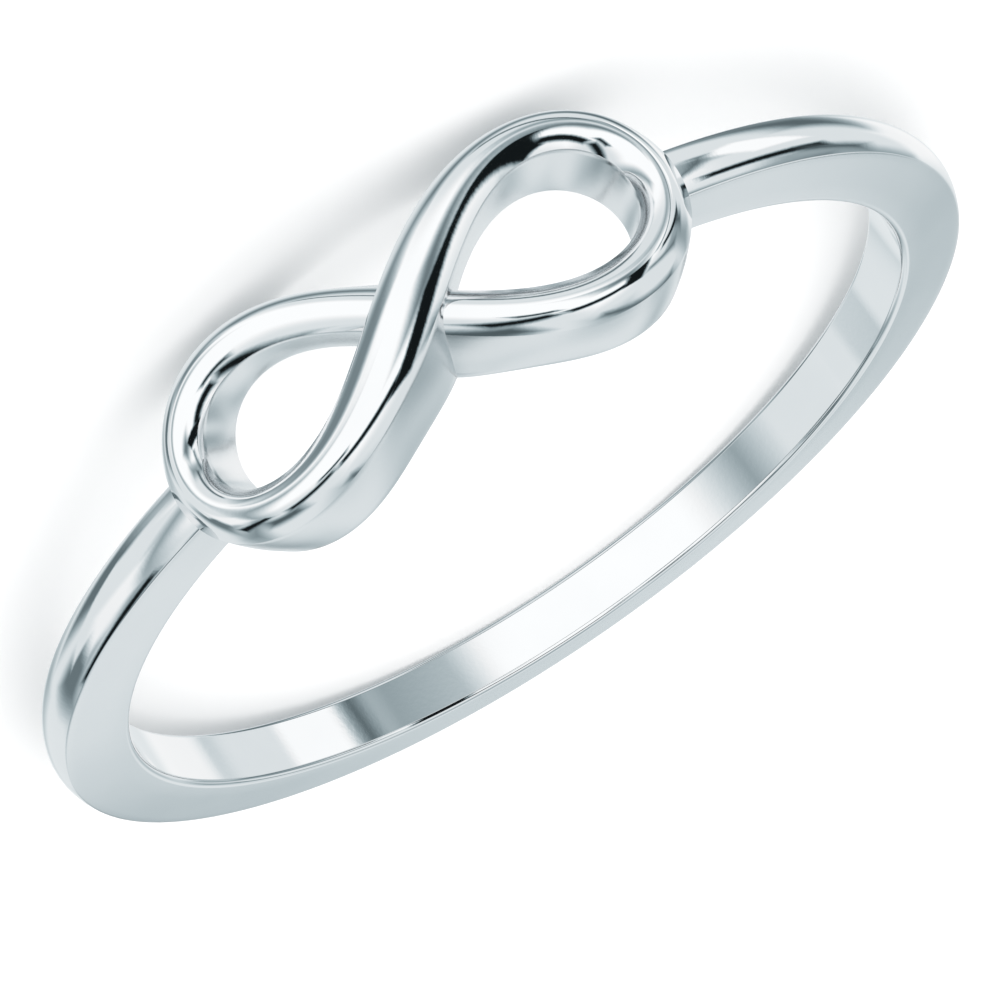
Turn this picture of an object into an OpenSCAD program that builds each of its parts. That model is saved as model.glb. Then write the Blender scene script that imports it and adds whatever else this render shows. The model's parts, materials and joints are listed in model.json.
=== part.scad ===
// Infinity ring: a slim hoop with a figure of eight of one strand on its front.
// Millimetres. The ring lies on its side, tipped by its front, which points to -Y.
// Angles round the hoop are taken from the middle of the front.

/* [Finger hole] */

// Inside diameter of the ring
bore_d = 17.3; // [14:0.1:22]

/* [Band] */

// Width of the band at its inside
band_w = 1.31; // [1:0.01:3]
// Angle by which each side face leans in towards the outside
band_draft = 9.5; // [0:0.5:15]
// Radius to the top of the domed outside, a quarter turn from the front
band_r = 10.2; // [9.5:0.05:11.5]
// How far the outside is set back from the front, so the back is thicker
band_shift = 0.45; // [0:0.05:0.5]
// Radius of the dome across the band
dome_r = 0.75; // [0.7:0.05:2]
// Rounding of the two inner edges
edge_r = 0.13; // [0.05:0.01:0.2]
// Angle from the front at which the band ends inside a loop
band_end = 28.7; // [27:0.1:30]

/* [Figure of eight] */

// Radius on which the figure's lengths are taken
fig_r = 10; // [9:0.1:11]
// Half length of the figure: first and third part
fig_len = [4.74, -0.32]; // [-2:0.01:6]
// Half height of the figure
fig_high = 1.62; // [1:0.01:3]
// Width of the strand at the loop ends
strand_w = 0.94; // [0.6:0.01:1.4]
// Width of the strand at the crossing
strand_cross_w = 0.78; // [0.6:0.01:1.4]
// Extra width on top of the run that crosses over, at the crossing
over_extra_w = 0.34; // [0:0.01:0.5]
// Radius to the strand's upper edges at the loop ends
strand_r = 9.88; // [9.4:0.01:11]
// Rise of the run that crosses on top
over_rise = 0.34; // [0.2:0.01:1]
// Drop of the run that passes below
under_drop = 0.15; // [0:0.01:0.4]
// Height of the strand's dome: at the loop ends, at the crossing
strand_dome = [0.42, 0.3]; // [0.05:0.01:0.5]
// Its ridge lies towards the loop's hole, at the loop ends and beside the crossing, as a share
ridge_shift = [0.25, -0.4]; // [-0.4:0.01:0.4]
// Shift of the strand's top towards the hole of its loop, at the loop ends
strand_lean = 0.15; // [0:0.01:0.3]
// Fall of the strand's edges from the hole's side to the outside
strand_fall = 0.21; // [0:0.01:0.4]
// Spread of the walls' feet in the two notches beside the crossing
notch_fill = 0.48; // [0:0.01:0.6]

/* [Hidden] */

bore_r = bore_d / 2;
steps = 72;        // sections along each run
dome_steps = 8;    // flats across the strand's dome
edge_steps = 5;    // flats round an inner edge
sink = 0.2;        // depth of the walls' feet inside the bore, cut off by it
soft = 0.07;       // how quickly outer and hole side change over at the crossing
round_off = 0.3;   // how gently the strand's height and width turn at the loop ends
notch_power = 15;  // how close to the crossing the spread feet stay
wide_power = 6;    // how close to it the upper run is wide
$fn = 180;

// The centreline at t degrees: [along, up]; one turn of t draws the whole figure
function mid(t) = [fig_len[0]*sin(t) + fig_len[1]*sin(3*t), fig_high*sin(2*t)];
function slope(t) = [fig_len[0]*cos(t) + 3*fig_len[1]*cos(3*t), 2*fig_high*cos(2*t)];
function across(t) = let (d = slope(t)) [-d[1], d[0]]/norm(d);

// A point on the ring: radius, length along the figure at fig_r, height along the axis
function on_ring(r, p) = let (a = p[0]/fig_r*180/PI) [-r*sin(a), -r*cos(a), p[1]];

// +1 where the strand's left side is the outside of its loop, -1 where it is the hole's
function outward(t) = sin(t)/sqrt(sin(t)*sin(t) + soft*soft);
function near_cross(t) = (norm([cos(t), round_off]) - round_off)/(norm([1, round_off]) - round_off);
function at_cross(t) = pow(near_cross(t), wide_power);

function half_w(t) = (strand_w + (strand_cross_w - strand_w)*near_cross(t))/2;
function rise(t) = (over_rise*(near_cross(t) - cos(t)) - under_drop*(near_cross(t) + cos(t)))/2;
function edge_height(t, side) = strand_r + rise(t) - side*strand_fall*sin(t)*near_cross(t);

// Height of the dome over its edges; across runs from 1 at the left edge to -1 at the right
function ridge(t) = sin(t)*(ridge_shift[0] + (ridge_shift[1] - ridge_shift[0])*near_cross(t));
function dome(t, across) = let (v = across + ridge(t)*(1 - across*across))
    (strand_dome[0] + (strand_dome[1] - strand_dome[0])*near_cross(t))*(1 - v*v);

// Sideways places of the section's foot and upper edge; side +1 is left, -1 is right
function foot(t, side) =
    side*(half_w(t) + notch_fill*pow(near_cross(t), notch_power)*(1 + side*outward(t))/2);
function top(t, side) = side*(half_w(t) + (cos(t) < 0 ? over_extra_w/2*at_cross(t) : 0))
    - strand_lean*sin(t);

// The foot runs on inside the bore in line with its wall
function deep_foot(t, side) = let (share = sink/(edge_height(t, side) - bore_r))
    foot(t, side)*(1 + share) - top(t, side)*share;

// One section of the strand, from the left foot over the dome to the right foot
function section(t) = let (p = mid(t), n = across(t)) concat(
    [on_ring(bore_r - sink, p + n*deep_foot(t, 1))],
    [for (i = [0:dome_steps]) let (a = 180*i/dome_steps, f = (1 - cos(a))/2) on_ring(
        edge_height(t, 1)*(1 - f) + edge_height(t, -1)*f + dome(t, cos(a)),
        p + n*(top(t, 1)*(1 - f) + top(t, -1)*f)
    )],
    [on_ring(bore_r - sink, p + n*deep_foot(t, -1))]
);

// The upper inner edge of the band is rounded: [radius, height] along it
edge_mid = band_w/2 - edge_r*tan(band_draft) - edge_r/cos(band_draft);
function edge_arc() = [for (i = [0:edge_steps]) let (a = 180 - (90 + band_draft)*i/edge_steps)
    [bore_r + edge_r + edge_r*cos(a), edge_mid + edge_r*sin(a)]];

// The ring tips until a loop and the back of the band touch the ground
rim = [for (t = [90:1:180]) on_ring(bore_r, mid(t) + across(t)*foot(t, 1))];
back = [bore_r + edge_r, -edge_mid];
function tip(p) = let (run = back[0] - p[1], fall = back[1] - p[2])
    atan2(fall, run) - asin(edge_r/norm([run, fall]));
tilt = max([for (p = rim) tip(p)]);
lift = back[0]*sin(tilt) - back[1]*cos(tilt) + edge_r;

// The ring is set forward or back so that the origin is under its middle
front_y = min([for (t = [90:1:270], p = section(t)) p[1]*cos(tilt) + p[2]*sin(tilt)]);
back_y = (band_r - dome_r + band_shift)*cos(tilt) + dome_r;
set_y = -(front_y + back_y)/2;

// A closed body through a list of sections of equal length
module loft(rows) {
    n = len(rows[0]);
    m = len(rows);
    sides = [for (i = [0:m - 2], j = [0:n - 1]) let (k = (j + 1)%n)
        each [[i*n + j, i*n + k, (i + 1)*n + k], [i*n + j, (i + 1)*n + k, (i + 1)*n + j]]];
    first = [for (j = [1:n - 2]) [0, j + 1, j]];
    last = [for (j = [1:n - 2]) (m - 1)*n*[1, 1, 1] + [0, j, j + 1]];
    polyhedron([for (r = rows) each r], concat(sides, first, last), convexity = 6);
}

module run_of_strand(from) {
    loft([for (i = [0:steps]) section(from + 180*i/steps)]);
}

module band() {
    arc = edge_arc();
    deep = 2.5;
    far = [bore_r + deep, band_w/2 - deep*tan(band_draft)];
    upper = concat(arc, [far]);
    lower = [for (i = [len(upper) - 1:-1:0]) [upper[i][0], -upper[i][1]]];
    core = band_r - dome_r;
    intersection() {
        rotate([0, 0, -90 + band_end])
            rotate_extrude(angle = 360 - 2*band_end) polygon(concat(upper, lower));
        translate([0, band_shift, 0]) rotate_extrude() {
            translate([0, -dome_r + 0.05]) square([core, 2*dome_r - 0.1]);
            translate([core, 0]) circle(r = dome_r);
        }
    }
}

module ring() {
    color("#C7CDD0") translate([0, set_y, lift]) rotate([-tilt, 0, 0]) difference() {
        union() {
            band();
            run_of_strand(90);
            run_of_strand(-90);
        }
        translate([0, 0, -5]) cylinder(r = bore_r, h = 10);
    }
}

ring();
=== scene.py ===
"""A slim polished silver ring with a figure of eight on its front, lying on its side."""

import json
import math

import bpy
import numpy as np
from mathutils import Matrix, Vector
from mathutils.bvhtree import BVHTree


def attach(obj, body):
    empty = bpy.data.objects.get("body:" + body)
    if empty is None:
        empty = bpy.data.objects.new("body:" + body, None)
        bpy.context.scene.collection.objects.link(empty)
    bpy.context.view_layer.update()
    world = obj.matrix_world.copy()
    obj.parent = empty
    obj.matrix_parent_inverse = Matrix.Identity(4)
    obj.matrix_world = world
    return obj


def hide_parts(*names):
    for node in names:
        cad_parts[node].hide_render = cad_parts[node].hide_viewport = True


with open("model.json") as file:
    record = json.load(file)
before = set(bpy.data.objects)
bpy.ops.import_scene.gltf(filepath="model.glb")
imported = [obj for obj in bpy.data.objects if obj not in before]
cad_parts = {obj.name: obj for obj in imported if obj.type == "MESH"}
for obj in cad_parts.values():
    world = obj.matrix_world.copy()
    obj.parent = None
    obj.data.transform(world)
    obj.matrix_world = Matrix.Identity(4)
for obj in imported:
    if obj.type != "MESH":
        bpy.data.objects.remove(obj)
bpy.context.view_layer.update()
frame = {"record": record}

MM = 0.001

# Sizes, as in part.scad, in mm and degrees
BORE_R = 8.65
BAND_W = 1.31
BAND_DRAFT = math.radians(9.5)
BAND_R = 10.2
BAND_SHIFT = 0.45
DOME_R = 0.75
EDGE_R = 0.13
BAND_END = 28.7
FIG_R = 10.0
FIG_LEN = (4.74, -0.32)
FIG_HIGH = 1.62
STRAND_W = 0.94
STRAND_CROSS_W = 0.78
OVER_EXTRA_W = 0.34
STRAND_R = 9.88
OVER_RISE = 0.34
UNDER_DROP = 0.15
STRAND_DOME = (0.42, 0.3)
RIDGE_SHIFT = (0.25, -0.4)
STRAND_LEAN = 0.15
STRAND_FALL = 0.21
NOTCH_FILL = 0.48
SINK = 0.2
SOFT = 0.07
ROUND_OFF = 0.3
NOTCH_POWER = 15
WIDE_POWER = 6

# Only here: the small roundings that polishing leaves, and how finely each run is drawn
FOOT_ROUND = 0.04
WALL_BULGE = 0.035
RUN_SECTIONS = 320
RUN_PAST = 8
DOME_POINTS = 36
BAND_SECTIONS = 560
BAND_SIDE_POINTS = range(10, 15)
CUTTER_SIDES = 1440
CUTTER_HALF = 5.0

# The finger hole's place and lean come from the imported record
bore = next(m for m in frame["record"]["mounts"] if m["name"] == "finger_bore")
tilt = math.atan2(bore["axis"][1], bore["axis"][2])
TO_ROW = Matrix.Translation(Vector(bore["pos_m"])) @ Matrix.Rotation(-tilt, 4, "X")


# The figure of eight
def strand_values(t):
    """For turns t in radians: centre, direction across, and places of feet and upper edges."""
    sin, cos = np.sin(t), np.cos(t)
    mid = np.stack([FIG_LEN[0]*sin + FIG_LEN[1]*np.sin(3*t), FIG_HIGH*np.sin(2*t)], 1)
    slope = np.stack([FIG_LEN[0]*cos + 3*FIG_LEN[1]*np.cos(3*t), 2*FIG_HIGH*np.cos(2*t)], 1)
    across = np.stack([-slope[:, 1], slope[:, 0]], 1)/np.hypot(slope[:, 0], slope[:, 1])[:, None]
    outward = sin/np.sqrt(sin*sin + SOFT*SOFT)
    near = (np.hypot(cos, ROUND_OFF) - ROUND_OFF)/(math.hypot(1, ROUND_OFF) - ROUND_OFF)
    half = (STRAND_W + (STRAND_CROSS_W - STRAND_W)*near)/2
    extra = np.where(cos < 0, OVER_EXTRA_W/2*near**WIDE_POWER, 0)
    rise = (OVER_RISE*(near - cos) - UNDER_DROP*(near + cos))/2
    values = {"mid": mid, "across": across,
              "dome": STRAND_DOME[0] + (STRAND_DOME[1] - STRAND_DOME[0])*near,
              "ridge": sin*(RIDGE_SHIFT[0] + (RIDGE_SHIFT[1] - RIDGE_SHIFT[0])*near)}
    for side in (1, -1):
        foot = side*(half + NOTCH_FILL*near**NOTCH_POWER*(1 + side*outward)/2)
        values[side] = {"foot": foot, "top": side*(half + extra) - STRAND_LEAN*sin,
                        "height": STRAND_R + rise - side*STRAND_FALL*sin*near}
    return values


def on_ring(radius, along, high):
    angle = along/FIG_R
    return np.stack([-radius*np.sin(angle), -radius*np.cos(angle), high], -1)


def strand_section(v):
    """(sideways, radius) of every point round the section, each an array over the sections."""
    left, right = v[1], v[-1]
    rows = []

    def wall(side, share):
        """A point on a wall, share 0 at the foot and 1 at the upper edge."""
        e = v[side]
        bulge = side*WALL_BULGE*math.sin(math.pi*share)
        off = e["foot"] + (e["top"] - e["foot"])*share + bulge
        return off, BORE_R + (e["height"] - BORE_R)*share

    def foot(side):
        """From inside the bore round the small radius at the foot, up the wall."""
        at_foot, _ = wall(side, 0)
        flat = np.ones_like(at_foot)
        turns = np.radians([78, 60, 42, 24, 6])
        inner = at_foot - side*FOOT_ROUND*(1 - math.cos(turns[0]))
        out = [(inner, (BORE_R - SINK)*flat)]
        for a in turns:
            off = at_foot - side*FOOT_ROUND*(1 - math.cos(a))
            out.append((off, BORE_R + FOOT_ROUND*(1 - math.sin(a))*flat))
        return out

    wall_shares = (0.15, 0.35, 0.55, 0.75, 0.9)
    rows += foot(1)
    rows += [wall(1, share) for share in wall_shares]
    for i in range(DOME_POINTS + 1):
        a = math.pi*i/DOME_POINTS
        f = (1 - math.cos(a))/2
        along = math.cos(a) + v["ridge"]*math.sin(a)**2
        rows.append((left["top"]*(1 - f) + right["top"]*f,
                     left["height"]*(1 - f) + right["height"]*f + v["dome"]*(1 - along*along)))
    rows += [wall(-1, share) for share in reversed(wall_shares)]
    rows += foot(-1)[::-1]
    return rows


def lofted(name, points, satin=()):
    """A mesh through sections: points is sections x points round x 3, in mm. The faces after the
    points numbered in satin are marked 1."""
    m, n = points.shape[:2]
    verts = points.reshape(-1, 3)*MM
    faces = [(i*n + j, i*n + (j + 1) % n, (i + 1)*n + (j + 1) % n, (i + 1)*n + j)
             for i in range(m - 1) for j in range(n)]
    faces += [tuple(range(n - 1, -1, -1)), tuple((m - 1)*n + j for j in range(n))]
    marks = [int(j in satin) for _ in range(m - 1) for j in range(n)] + [0, 0]
    mesh = bpy.data.meshes.new(name)
    mesh.from_pydata([tuple(p) for p in verts], [], faces)
    mesh.polygons.foreach_set("material_index", marks)
    mesh.update()
    obj = bpy.data.objects.new(name, mesh)
    bpy.context.scene.collection.objects.link(obj)
    return obj


def strand_run(name, start, past=0):
    """Half of the figure from a loop's end; past adds some of the other run at both ends."""
    step = 180/RUN_SECTIONS
    t = np.radians(start + step*np.arange(-past, RUN_SECTIONS + past + 1))
    v = strand_values(t)
    rows = []
    for off, radius in strand_section(v):
        place = v["mid"] + v["across"]*off[:, None]
        rows.append(on_ring(radius, place[:, 0], place[:, 1]))
    first = (len(rows) - DOME_POINTS - 1)//2
    walls = {*range(first), *range(first + DOME_POINTS, len(rows))}
    return lofted(name, np.stack(rows, 1), walls)


# The band
def band_profile(angle):
    """(radius, height) round the band's section at an angle from the back, in radians."""
    mid = BAND_W/2 - EDGE_R*math.tan(BAND_DRAFT) - EDGE_R/math.cos(BAND_DRAFT)
    upper = [(BORE_R - SINK, mid), (BORE_R - SINK/2, mid)]
    for a in np.linspace(math.radians(172), math.pi/2 - BAND_DRAFT, 9):
        upper.append((BORE_R + EDGE_R + EDGE_R*math.cos(a), mid + EDGE_R*math.sin(a)))

    def dome(high):
        """Radius of the outside at a height, which is a torus set back from the front."""
        r = BAND_R - DOME_R + math.sqrt(DOME_R**2 - high**2)
        d = BAND_SHIFT*math.cos(angle)
        return d + math.sqrt(r*r - (BAND_SHIFT*math.sin(angle))**2)

    # The height at which the leaning side meets the dome, found by trying again and again
    edge = BAND_W/2
    for _ in range(30):
        edge = BAND_W/2 - (dome(edge) - BORE_R)*math.tan(BAND_DRAFT)
    start = upper[-1]
    side_top = (dome(edge), edge)
    for share in (0.3, 0.6, 0.85, 0.97):
        upper.append((start[0] + (side_top[0] - start[0])*share,
                      start[1] + (side_top[1] - start[1])*share))
    for share in (0.985, 0.95, 0.85, 0.7, 0.5, 0.3, 0.1):
        upper.append((dome(edge*share), edge*share))
    return upper + [(r, -h) for r, h in reversed(upper)]


def band():
    reach = 180 - BAND_END
    rows = []
    for degrees in np.linspace(-reach, reach, BAND_SECTIONS + 1):
        a = math.radians(degrees)
        rows.append([(-r*math.sin(a), r*math.cos(a), h) for r, h in band_profile(a)])
    n = len(rows[0])
    sides = {j for j in range(n) if min(j, n - 2 - j) in BAND_SIDE_POINTS}
    return lofted("band", np.array(rows), sides)


def bore_cutter():
    a = np.linspace(0, 2*math.pi, CUTTER_SIDES, endpoint=False)
    circle = BORE_R*np.stack([np.cos(a), np.sin(a)], 1)/math.cos(math.pi/CUTTER_SIDES)
    rows = [np.column_stack([circle, np.full(CUTTER_SIDES, z)]) for z in (-CUTTER_HALF, CUTTER_HALF)]
    return lofted("cutter", np.stack(rows))


# Joining the pieces
def outward_facing(obj):
    """Turns the faces outward if the volume comes out negative."""
    mesh = obj.data
    mesh.calc_loop_triangles()
    v = np.empty(len(mesh.vertices)*3)
    mesh.vertices.foreach_get("co", v)
    v = v.reshape(-1, 3)
    tri = np.empty(len(mesh.loop_triangles)*3, dtype=np.int64)
    mesh.loop_triangles.foreach_get("vertices", tri)
    a, b, c = v[tri.reshape(-1, 3)].transpose(1, 0, 2)
    if np.einsum("ij,ij->i", a, np.cross(b, c)).sum() < 0:
        mesh.flip_normals()


def joined(base, parts, cutter):
    """One mesh of all. Its faces are numbered by the piece they come from: 2k and, satin, 2k + 1."""
    slots = [bpy.data.materials.new("made_%d" % i) for i in range(2*len(parts) + 4)]
    for k, obj in enumerate([base, *parts, cutter]):
        marks = np.empty(len(obj.data.polygons), dtype=np.int32)
        obj.data.polygons.foreach_get("material_index", marks)
        for s in slots:
            obj.data.materials.append(s)
        obj.data.polygons.foreach_set("material_index", marks + 2*k)
        outward_facing(obj)
    for obj, operation in [*((p, "UNION") for p in parts), (cutter, "DIFFERENCE")]:
        mod = base.modifiers.new("join", "BOOLEAN")
        mod.operation, mod.object, mod.solver = operation, obj, "MANIFOLD"
    dg = bpy.context.evaluated_depsgraph_get()
    mesh = bpy.data.meshes.new_from_object(base.evaluated_get(dg))
    return mesh, slots


def sources(objects):
    """For each object: its faces for lookups and its smooth normals."""
    found = []
    for obj in objects:
        outward_facing(obj)
        mesh = obj.data
        mesh.polygons.foreach_set("use_smooth", [True]*len(mesh.polygons))
        normals = [v.normal.copy() for v in mesh.vertices]
        mesh.calc_loop_triangles()
        tris = [tuple(t.vertices) for t in mesh.loop_triangles
                if len(mesh.polygons[t.polygon_index].vertices) == 4]
        tree = BVHTree.FromPolygons([v.co for v in mesh.vertices], tris)
        found.append((tree, tris, [v.co.copy() for v in mesh.vertices], normals))
    return found


def smooth_normal(source, point, fallback):
    """The source's own smooth normal at the place nearest to point."""
    tree, tris, cos, normals = source
    where, _, index, _ = tree.find_nearest(point)
    if index is None:
        return fallback
    i, j, k = tris[index]
    a, b, c = cos[i], cos[j], cos[k]
    n = (b - a).cross(c - a)
    area = n.length_squared
    if area < 1e-30:
        return fallback
    u = (b - where).cross(c - where).dot(n)/area
    v = (c - where).cross(a - where).dot(n)/area
    out = normals[i]*u + normals[j]*v + normals[k]*(1 - u - v)
    return out.normalized() if out.length > 1e-6 else fallback


def corner_normals(mesh, found):
    """A normal for each corner, from the piece its face comes from. Other faces are the bore's."""
    normals = [None]*len(mesh.loops)
    memory = {}
    for face in mesh.polygons:
        piece = face.material_index//2
        for loop in face.loop_indices:
            v = mesh.loops[loop].vertex_index
            if (piece, v) not in memory:
                co = mesh.vertices[v].co
                if piece < len(found):
                    n = smooth_normal(found[piece], co, face.normal)
                    if n.dot(face.normal) < 0.3:
                        n = face.normal.copy()
                else:
                    n = Vector((-co.x, -co.y, 0)).normalized()
                memory[piece, v] = n
            normals[loop] = memory[piece, v]
    return [tuple(n) for n in normals]


def ring_object():
    band_obj = band()
    runs = [strand_run("over", 90), strand_run("under", -90)]
    cutter = bore_cutter()
    mesh, slots = joined(band_obj, runs, cutter)
    longer = [strand_run("over_long", 90, RUN_PAST), strand_run("under_long", -90, RUN_PAST)]
    normals = corner_normals(mesh, sources([band_obj, *longer]))
    marks = [face.material_index % 2 for face in mesh.polygons]
    mesh.polygons.foreach_set("use_smooth", [True]*len(mesh.polygons))
    mesh.materials.clear()
    mesh.materials.append(silver("polished_silver", 0.02, 0.06))
    mesh.materials.append(silver("satin_silver", 0.17, 0.25))
    mesh.polygons.foreach_set("material_index", marks)
    mesh.normals_split_custom_set(normals)
    for obj in (band_obj, *runs, *longer, cutter):
        data = obj.data
        bpy.data.objects.remove(obj)
        bpy.data.meshes.remove(data)
    for s in slots:
        bpy.data.materials.remove(s)
    mesh.transform(TO_ROW)
    mesh.name = "silver_ring"
    obj = bpy.data.objects.new("silver_ring", mesh)
    bpy.context.scene.collection.objects.link(obj)
    return obj


# Materials
def shader(name):
    mat = bpy.data.materials.new(name)
    mat.use_nodes = True
    nodes = mat.node_tree.nodes
    return mat, nodes, mat.node_tree.links, nodes["Principled BSDF"]


def noise(nodes, links, scale, detail):
    coords = nodes.new("ShaderNodeTexCoord")
    node = nodes.new("ShaderNodeTexNoise")
    node.inputs["Scale"].default_value = scale
    node.inputs["Detail"].default_value = detail
    links.new(coords.outputs["Object"], node.inputs["Vector"])
    return node.outputs["Fac"]


def between(nodes, links, share, low, high):
    """A colour between two, by a noise."""
    tone = nodes.new("ShaderNodeValToRGB")
    for stop, place, colour in zip(tone.color_ramp.elements, (0.3, 0.7), (low, high)):
        stop.position = place
        stop.color = (*colour, 1)
    links.new(share, tone.inputs["Fac"])
    return tone.outputs["Color"]


def silver(name, smooth, rough):
    """Silver with a slightly uneven tone and a fine polishing haze."""
    mat, nodes, links, bsdf = shader(name)
    bsdf.inputs["Metallic"].default_value = 1.0
    cloud = noise(nodes, links, 420, 3)
    colour = between(nodes, links, cloud, (0.845, 0.862, 0.874), (0.882, 0.895, 0.903))
    links.new(colour, bsdf.inputs["Base Color"])
    haze = nodes.new("ShaderNodeMapRange")
    haze.inputs["To Min"].default_value = smooth
    haze.inputs["To Max"].default_value = rough
    links.new(cloud, haze.inputs["Value"])
    links.new(haze.outputs["Result"], bsdf.inputs["Roughness"])
    grain = nodes.new("ShaderNodeBump")
    grain.inputs["Strength"].default_value = 0.05
    grain.inputs["Distance"].default_value = 0.00001
    links.new(noise(nodes, links, 9000, 2), grain.inputs["Height"])
    links.new(grain.outputs["Normal"], bsdf.inputs["Normal"])
    return mat


def paper():
    mat, nodes, links, bsdf = shader("pale_floor")
    cloud = noise(nodes, links, 60, 4)
    colour = between(nodes, links, cloud, (0.94, 0.94, 0.94), (0.96, 0.96, 0.96))
    links.new(colour, bsdf.inputs["Base Color"])
    bsdf.inputs["Roughness"].default_value = 0.9
    bsdf.inputs["Specular IOR Level"].default_value = 0.1
    return mat


ring = ring_object()
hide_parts("ring")
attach(ring, "root")


# Floor
def floor():
    size = 0.6
    corners = [(-size, -size, 0), (size, -size, 0), (size, size, 0), (-size, size, 0)]
    mesh = bpy.data.meshes.new("floor")
    mesh.from_pydata(corners, [], [(0, 1, 2, 3)])
    obj = bpy.data.objects.new("floor", mesh)
    bpy.context.scene.collection.objects.link(obj)
    mesh.materials.append(paper())
    obj.visible_glossy = False
    obj.visible_shadow = False


floor()

# The camera's place in mm and its axes, in the ring's own frame, where the finger hole points to +Z
CAMERA_AT = (2.12, -64.59, 22.87)
CAMERA_RIGHT = (-0.8256, 0.1667, 0.5391)
CAMERA_UP = (-0.5637, -0.2876, -0.7743)
LENS = 129.6

cam = bpy.data.objects.new("camera", bpy.data.cameras.new("camera"))
bpy.context.scene.collection.objects.link(cam)
bpy.context.scene.camera = cam
right, up = Vector(CAMERA_RIGHT).normalized(), Vector(CAMERA_UP).normalized()
back = right.cross(up).normalized()
up = back.cross(right)
turn = Matrix((right, up, back)).transposed().to_4x4()
cam.matrix_world = TO_ROW @ Matrix.Translation(Vector(CAMERA_AT)*MM) @ turn
cam.data.sensor_width = 36
cam.data.lens = LENS
cam.data.clip_start = 0.005
cam.data.clip_end = 5

# The studio round the ring, as the polished metal mirrors it: soft-edged cards and flags, later
# ones in front of earlier ones. Degrees: right of and above the front, half sizes, turn, softness.
# Fixed in the room, so other views see them from where they stand.
ZONE_COLUMNS = ("right", "above", "half_wide", "half_high", "turn", "soft", "light")
ZONES = {
    "key":         (-12, 8, 70, 46, 0, 12, 1.12),
    "low_far":     (105, -52, 16, 11, 0, 12, 0.50),
    "back_low":    (-150, -58, 14, 8, 0, 10, 0.50),
    "top_grey":    (40, 60, 14, 9, 0, 10, 0.35),
    "back_top":    (-155, 46, 30, 10, 0, 12, 0.20),
    "left_upper":  (-106, 26, 14, 10, 0, 8, 0.26),
    "left_soft":   (-66, -18, 7, 38, 0, 13, 0.28),
    "low_left":    (-110, -66, 20, 5, 0, 9, 0.25),
    "left_dark":   (-120, 4, 12, 11, -12, 6, 0.18),
    "left_low":    (-114, -38, 12, 14, 0, 7, 0.20),
    "left_card":   (-95, -14, 17, 18, 0, 2, 0.85),
    "left_edge":   (-86, -36, 12, 12, 0, 5, 1.00),
    "nadir":       (-88, -61, 17, 4, 0, 2, 0.01),
    "below":       (-40, -80, 14, 8, 0, 6, 0.12),
    "top_dark":    (69, 58, 5, 6, 0, 5, 0.45),
    "right_card":  (97, 53, 9, 12, 0, 2, 1.10),
    "right_back":  (156, 44, 12, 10, 0, 8, 0.15),
    "under_right": (108, 10, 24, 7, -12, 6, 0.40),
    "right_disc":  (150, 20, 14, 10, 0, 4, 1.00),
    "horizon":     (85, 25, 18, 4, 8, 2, 0.01),
    "horizon_end": (105, 20, 10, 4, -20, 5, 0.10),
    "side_grey":   (149, -18, 9, 4, 0, 9, 0.44),
    "back_soft":   (172, -26, 8, 14, 0, 7, 0.66),
    "back_dark":   (-176, -27, 7, 5, 0, 6, 0.28),
    "back_left":   (-152, -3, 8, 6, 0, 8, 0.45),
    "wall_top":    (125, -17, 6, 7, 0, 8, 0.34),
    "low_right":   (101, -34, 3, 26, -36, 4, 0.12),
    "right_lobe":  (84, 3, 18, 3, 14, 5, 0.15),
    "front_low":   (5, -31, 10, 4, 38, 3, 0.03),
    "arch_top":    (55, 90, 3, 28, 0, 3, 0.10),
    "arch":        (64, 48, 2, 22, -26, 3, 0.12),
    "flag_shade":  (28, 26, 11, 13, 28, 10, 0.22),
    "flag_foot":   (2, -54, 6, 18, -42, 4, 0.01),
    "flag_bend":   (38, -23, 6, 20, -34, 3, 0.01),
    "flag":        (50, 5, 8, 20, 25, 2, 0.01),
}
ROOM_LIGHT = 0.85
WHITE = 1.35
COOL = (0.72, 1.0, 1.10)


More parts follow.
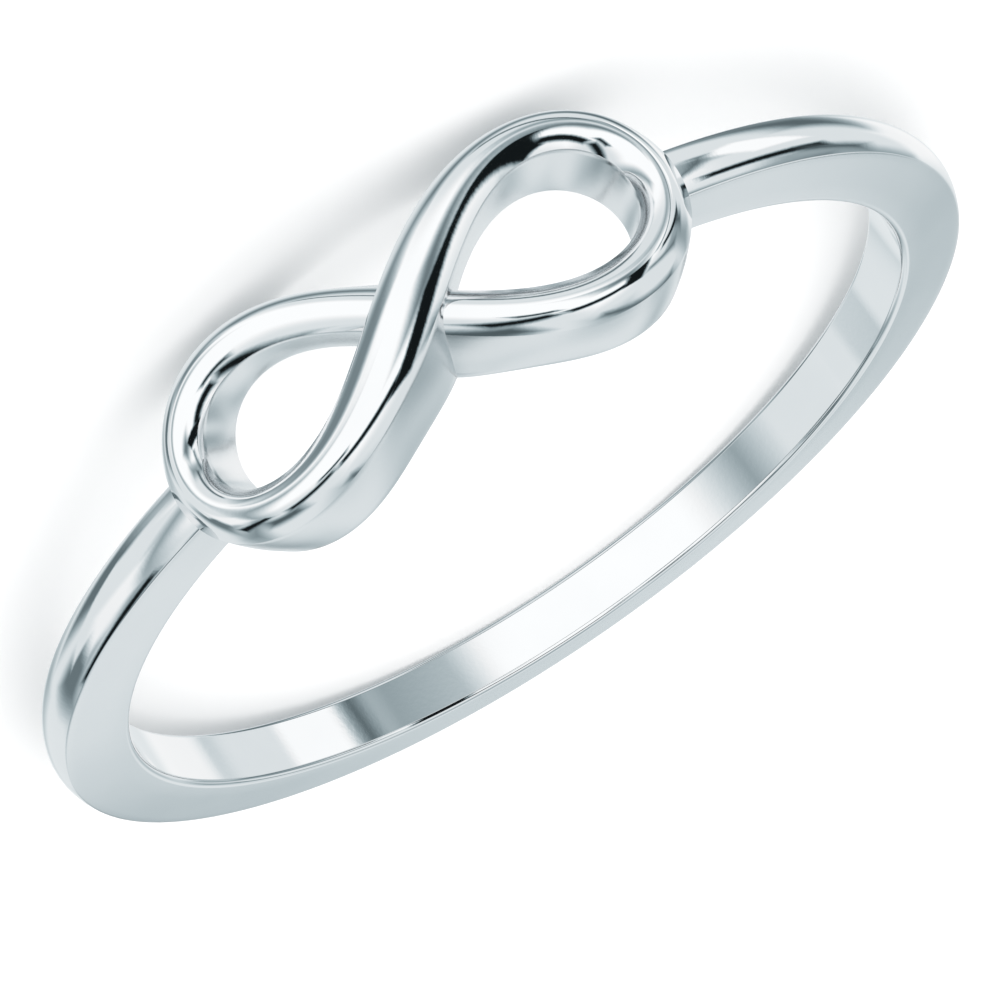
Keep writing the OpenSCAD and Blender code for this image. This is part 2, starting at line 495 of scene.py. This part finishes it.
# Light
def studio():
    world = bpy.data.worlds.new("studio")
    bpy.context.scene.world = world
    world.use_nodes = True
    world.cycles.sampling_method = "NONE"
    nodes, links = world.node_tree.nodes, world.node_tree.links
    axes = [(TO_ROW.to_3x3() @ v).normalized() for v in (right, up, back)]
    direction = nodes.new("ShaderNodeTexCoord").outputs["Generated"]

    def plugged(node, *values):
        for socket, value in zip(node.inputs, values):
            if isinstance(value, bpy.types.NodeSocket):
                links.new(value, socket)
            elif value is not None:
                socket.default_value = value
        return node

    def maths(operation, *values):
        node = nodes.new("ShaderNodeMath")
        node.operation = operation
        return plugged(node, *values).outputs[0]

    def dot(vector):
        node = nodes.new("ShaderNodeVectorMath")
        node.operation = "DOT_PRODUCT"
        return plugged(node, direction, tuple(vector)).outputs["Value"]

    def room(x, y, z):
        return axes[0]*x + axes[1]*y + axes[2]*z

    light = ROOM_LIGHT
    for values in ZONES.values():
        zone = dict(zip(ZONE_COLUMNS, values))
        az, el, turned = (math.radians(zone[k]) for k in ("right", "above", "turn"))
        centre = Vector((math.sin(az)*math.cos(el), math.sin(el), math.cos(az)*math.cos(el)))
        level = Vector((math.cos(az), 0, -math.sin(az)))
        steep = centre.cross(level)
        side = level*math.cos(turned) + steep*math.sin(turned)
        top = steep*math.cos(turned) - level*math.sin(turned)
        across = maths("ARCTAN2", dot(room(*side)), dot(room(*centre)))
        high = maths("ARCSINE", dot(room(*top)))
        past_side = maths("SUBTRACT", maths("ABSOLUTE", across), math.radians(zone["half_wide"]))
        past_top = maths("SUBTRACT", maths("ABSOLUTE", high), math.radians(zone["half_high"]))
        edge = math.radians(zone["soft"] + 0.5)
        share = nodes.new("ShaderNodeMapRange")
        share.interpolation_type = "SMOOTHSTEP"
        plugged(share, maths("MAXIMUM", past_side, past_top), edge, -edge, 0.0, 1.0)
        step = maths("MULTIPLY", share.outputs["Result"], maths("SUBTRACT", zone["light"], light))
        light = maths("ADD", step, light)

    tint = nodes.new("ShaderNodeMix")
    tint.data_type = "RGBA"
    links.new(light, tint.inputs["Factor"])
    tint.inputs["A"].default_value = (*COOL, 1)
    tint.inputs["B"].default_value = (1, 1, 1, 1)
    mirrored = nodes.new("ShaderNodeBackground")
    links.new(tint.outputs["Result"], mirrored.inputs["Color"])
    links.new(light, mirrored.inputs["Strength"])
    plain = nodes["Background"]
    plain.inputs["Color"].default_value = (1, 1, 1, 1)
    plain.inputs["Strength"].default_value = WHITE
    seen = nodes.new("ShaderNodeMixShader")
    links.new(nodes.new("ShaderNodeLightPath").outputs["Is Glossy Ray"], seen.inputs[0])
    links.new(plain.outputs["Background"], seen.inputs[1])
    links.new(mirrored.outputs["Background"], seen.inputs[2])
    links.new(seen.outputs["Shader"], nodes["World Output"].inputs["Surface"])


studio()
bpy.context.scene.view_settings.view_transform = "Standard"
